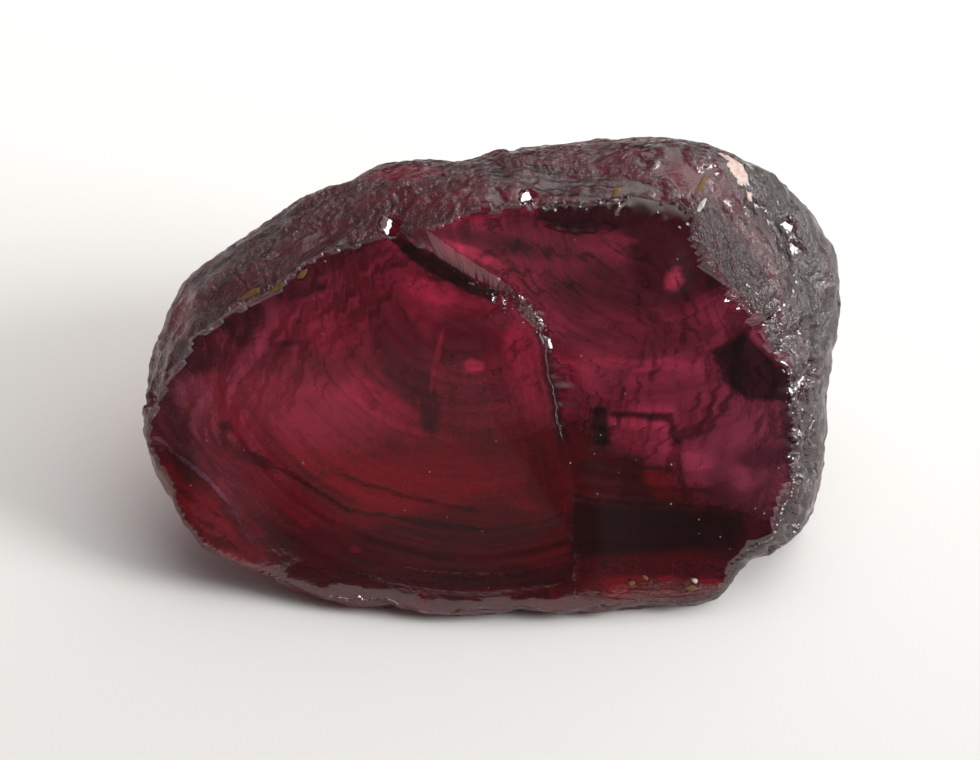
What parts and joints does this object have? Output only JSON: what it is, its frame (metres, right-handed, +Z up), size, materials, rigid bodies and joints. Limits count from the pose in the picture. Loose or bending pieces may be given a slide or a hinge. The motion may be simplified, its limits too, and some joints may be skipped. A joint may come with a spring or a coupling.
{
  "type": "rough garnet",
  "caption": "Waterworn pebble of dark red see-through garnet, broken open along one curved, rippled fracture face.",
  "frame": {"origin": "on the resting surface, below the centre of the stone's box", "axes": "+X along the stone's longest side, to the right as the broken face is looked at; +Y from the broken face to the back; +Z up"},
  "size_m": [0.0198, 0.0124, 0.0107],
  "materials": {
    "garnet": "glassy fracture with a frosted, waterworn skin"
  },
  "bodies": {
    "root": {"garnet": "garnet"}
  },
  "joints": []
}
